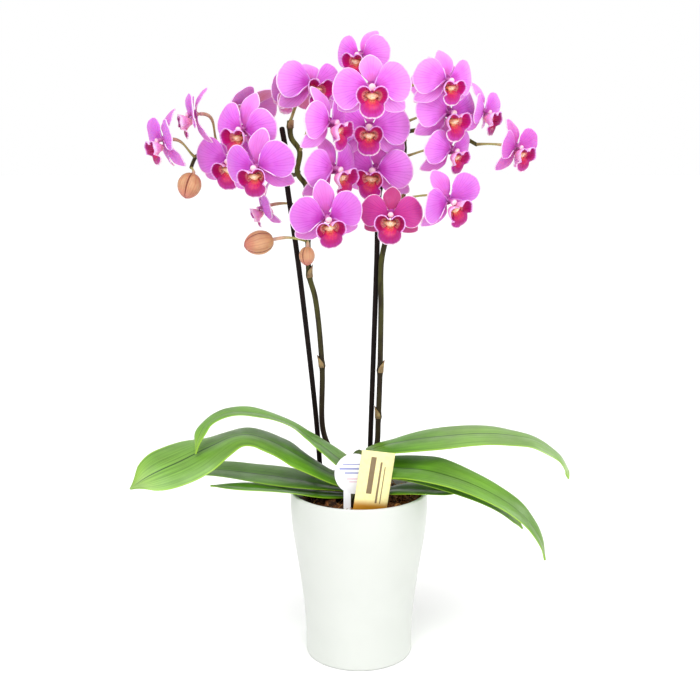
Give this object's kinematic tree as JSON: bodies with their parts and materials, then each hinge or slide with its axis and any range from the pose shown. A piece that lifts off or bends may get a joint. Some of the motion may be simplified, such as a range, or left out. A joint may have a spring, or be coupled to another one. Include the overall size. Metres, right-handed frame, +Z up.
{
  "type": "potted moth orchid",
  "caption": "Moth orchid with pink-violet blooms on two arching spikes beside dark stakes, broad strap leaves and bare plant labels in a plain white round pot filled with bark.",
  "frame": {"origin": "middle of the pot's flat base, on the surface it stands on", "axes": "+Z up along the plant; -Y towards the viewer, the way the flowers face; +X to the viewer's right"},
  "size_m": [0.3686, 0.148, 0.5399],
  "materials": {
    "glazed_pot": "smooth white satin glaze with a soft sheen",
    "bark": "dark damp bark chips with orange-brown fibre",
    "crown": "dull grey-green stem and roots",
    "leaf": "waxy mid-green strap leaves, darker along the midrib, yellow-green at the edges",
    "spike": "olive-brown flower stems with tan joints and yellow-green stalks",
    "stake": "nearly black stained cane",
    "petal": "soft pink-violet petals with deeper veins and pale margins, crimson lip and yellow throat",
    "bud": "peach buds flushed with magenta at the seams",
    "white_label": "thin matt white sheet plastic",
    "gold_label": "thin sheet, pale yellow above and gold to orange at the foot"
  },
  "bodies": {
    "root": {"pot": "glazed_pot", "growing_medium": "bark", "crown": "crown", "leaf_left_arched": "leaf", "leaf_left_front": "leaf", "leaf_left_low": "leaf", "leaf_left_lowest": "leaf", "leaf_right_arched": "leaf", "leaf_right_front": "leaf", "leaf_right_under": "leaf", "leaf_right_low": "leaf", "spike_left": "spike", "spike_right": "spike", "stake_left": "stake", "stake_right": "stake", "bloom_01": "petal", "bloom_02": "petal", "bloom_03": "petal", "bloom_04": "petal", "bloom_05": "petal", "bloom_06": "petal", "bloom_07": "petal", "bloom_08": "petal", "bloom_09": "petal", "bloom_10": "petal", "bloom_11": "petal", "bloom_12": "petal", "bloom_13": "petal", "bloom_14": "petal", "bloom_15": "petal", "bloom_16": "petal", "bloom_17": "petal", "bloom_18": "petal", "bloom_19": "petal", "bloom_20": "petal", "bloom_21": "petal", "bloom_22": "petal", "bloom_23": "petal", "bloom_24": "petal", "bud_1": "bud", "bud_2": "bud", "bud_3": "bud", "tag_round": "white_label", "tag_strip": "gold_label"}
  },
  "joints": []
}
